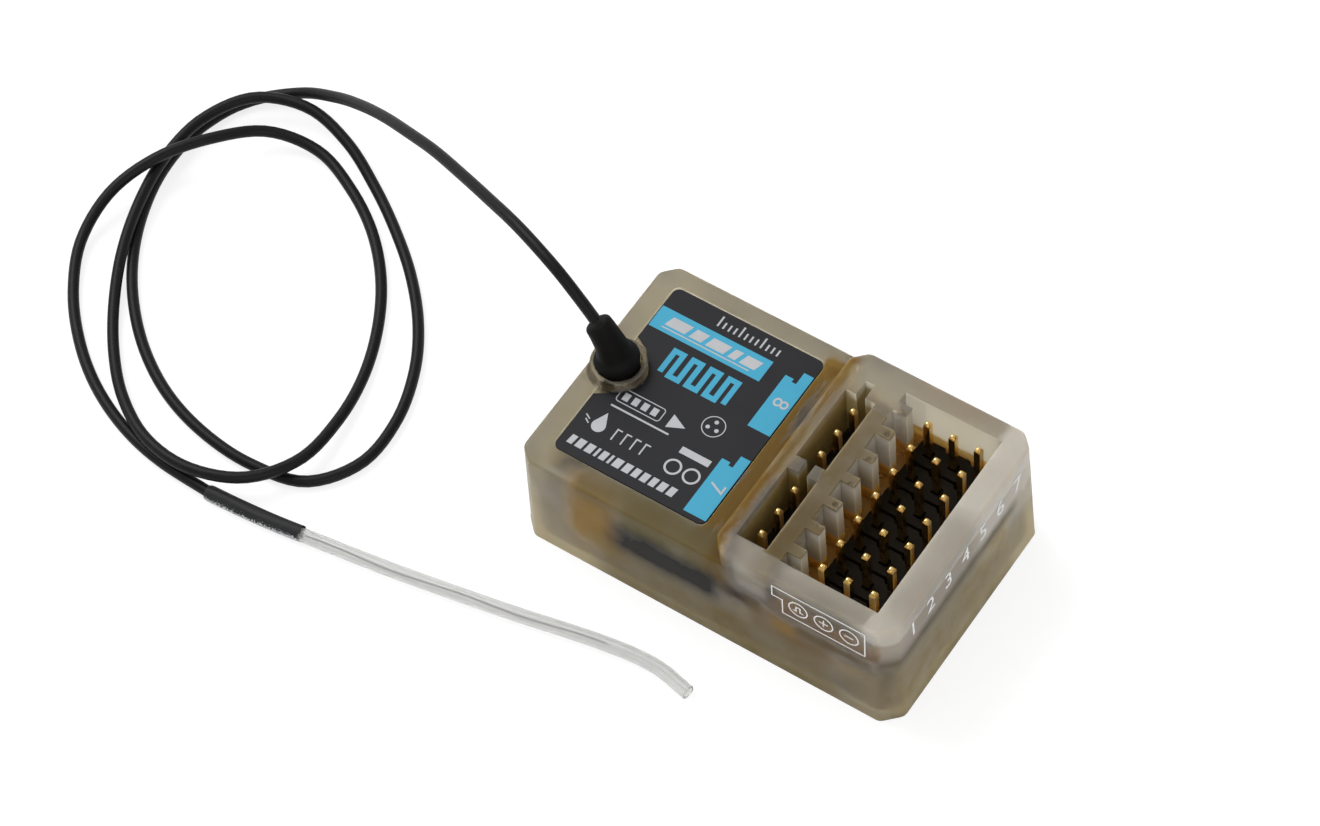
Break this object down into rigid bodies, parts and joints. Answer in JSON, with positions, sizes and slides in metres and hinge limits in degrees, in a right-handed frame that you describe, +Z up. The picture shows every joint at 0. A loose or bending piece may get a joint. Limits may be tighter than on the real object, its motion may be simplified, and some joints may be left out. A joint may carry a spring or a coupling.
{
  "type": "radio control receiver",
  "caption": "Small waterproof radio receiver: a frosted two-level case with keyed plug wells over square pins, a label deck and a thin whip lead on a rubber boot.",
  "frame": {"origin": "middle of the case's footprint at the base, on the surface it rests on; the loose antenna lead is left out of the measure", "axes": "+X along the case from the antenna end to the plug end, +Y across the case, +Z up out of the plug wells"},
  "size_m": [0.0925, 0.0413, 0.0219],
  "materials": {
    "frosted_plastic": "frosted translucent smoky beige moulding",
    "header_plastic": "black glass-filled moulding",
    "gold_plate": "gold-plated square pin",
    "tinned_steel": "satin tin plate",
    "board_mask": "dark green solder mask under a clear coat",
    "label_film": "satin black printed film",
    "amber_sealant": "translucent amber cast sealant",
    "tantalum_case": "amber moulded package",
    "light_lens": "small red lens",
    "boot_rubber": "matte black rubber",
    "lead_jacket": "black satin cable jacket",
    "shrink_tube": "black heat-shrink tube, scuffed along one edge",
    "clear_sleeve": "clear soft sleeve"
  },
  "bodies": {
    "root": {"antenna_boot": "boot_rubber", "antenna_element": "tinned_steel", "antenna_heatshrink": "shrink_tube", "antenna_lead": "lead_jacket", "antenna_sleeve": "clear_sleeve", "base_cover": "frosted_plastic", "capacitor_1": "tantalum_case", "capacitor_2": "tantalum_case", "circuit_board": "board_mask", "coax_jack": "gold_plate", "coax_plug": "tinned_steel", "crystal": "tinned_steel", "header_sealant": "amber_sealant", "inner_lead": "lead_jacket", "label": "label_film", "processor": "header_plastic", "radio_shield": "tinned_steel", "regulator": "header_plastic", "servo_header_1": "header_plastic", "servo_header_2": "header_plastic", "servo_header_3": "header_plastic", "servo_header_4": "header_plastic", "servo_header_5": "header_plastic", "servo_header_6": "header_plastic", "servo_header_7": "header_plastic", "servo_pin_1_1": "gold_plate", "servo_pin_1_2": "gold_plate", "servo_pin_1_3": "gold_plate", "servo_pin_2_1": "gold_plate", "servo_pin_2_2": "gold_plate", "servo_pin_2_3": "gold_plate", "servo_pin_3_1": "gold_plate", "servo_pin_3_2": "gold_plate", "servo_pin_3_3": "gold_plate", "servo_pin_4_1": "gold_plate", "servo_pin_4_2": "gold_plate", "servo_pin_4_3": "gold_plate", "servo_pin_5_1": "gold_plate", "servo_pin_5_2": "gold_plate", "servo_pin_5_3": "gold_plate", "servo_pin_6_1": "gold_plate", "servo_pin_6_2": "gold_plate", "servo_pin_6_3": "gold_plate", "servo_pin_7_1": "gold_plate", "servo_pin_7_2": "gold_plate", "servo_pin_7_3": "gold_plate", "side_header_1": "header_plastic", "side_header_2": "header_plastic", "side_pin_1_1": "gold_plate", "side_pin_1_2": "gold_plate", "side_pin_1_3": "gold_plate", "side_pin_2_1": "gold_plate", "side_pin_2_2": "gold_plate", "side_pin_2_3": "gold_plate", "status_light": "light_lens", "upper_housing": "frosted_plastic"}
  },
  "joints": []
}
